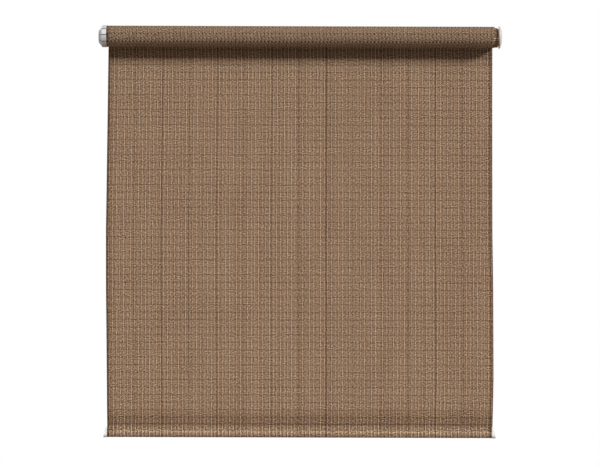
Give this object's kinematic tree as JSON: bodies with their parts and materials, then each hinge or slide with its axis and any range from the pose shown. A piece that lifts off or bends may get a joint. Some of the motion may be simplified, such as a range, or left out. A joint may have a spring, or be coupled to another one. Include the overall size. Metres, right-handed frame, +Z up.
{
  "type": "outdoor roller shade",
  "caption": "Roller shade with woven cloth hanging behind its roll, a grooved drive end cap, an idler flange and a weighted hem, raised and lowered by a sprung roller.",
  "frame": {"origin": "mouth of the socket in the drive end cap, on the roller's axis", "axes": "+X along the roller from the drive end to the idler end, +Y from the viewer towards the cloth, +Z up"},
  "size_m": [0.9144, 0.0581, 0.9384],
  "materials": {
    "cloth": "open woven outdoor cloth",
    "cap_silver": "satin silver",
    "flange_grey": "satin light grey",
    "cap_white": "matt white",
    "pale_plastic": "moulded",
    "grey_plastic": "moulded",
    "dark_plastic": "moulded",
    "mill_aluminium": "mill finish",
    "steel": "bright drawn",
    "spring_steel": "oil tempered"
  },
  "bodies": {
    "fixed_end": {"drive_end_cap": "cap_silver", "drive_hub": "dark_plastic", "spring_shaft": "steel", "shaft_pins": "steel", "fixed_spring_collar": "dark_plastic", "torsion_spring": "spring_steel", "damper_rotor": "pale_plastic", "retaining_clip": "spring_steel"},
    "roller": {"roller_tube": "mill_aluminium", "drive_crown": "pale_plastic", "turning_spring_collar": "pale_plastic", "damper_housing": "grey_plastic", "damper_lid": "grey_plastic", "shaft_end_bush": "pale_plastic", "cloth_spline": "pale_plastic", "cloth_roll": "cloth", "idler_plug": "flange_grey", "idler_bush": "dark_plastic"},
    "hem": {"shade_panel": "cloth", "hem_pocket": "cloth", "bottom_rail": "mill_aluminium", "rail_cap_left": "cap_white", "rail_cap_right": "cap_white"}
  },
  "joints": [
    {"name": "hem_lift", "type": "slide", "parent": "fixed_end", "child": "hem", "axis": [0, 0, 1], "range_m": [-0.66, 0.85], "deforming": ["shade_panel"]},
    {"name": "roller_spin", "type": "hinge", "parent": "fixed_end", "child": "roller", "pos_m": [0, 0, 0], "axis": [1, 0, 0], "range_deg": [-1505, 1935]}
  ],
  "couplings": [
    {"joint": "roller_spin", "follows": "hem_lift", "rad_per_m": 39.55}
  ]
}
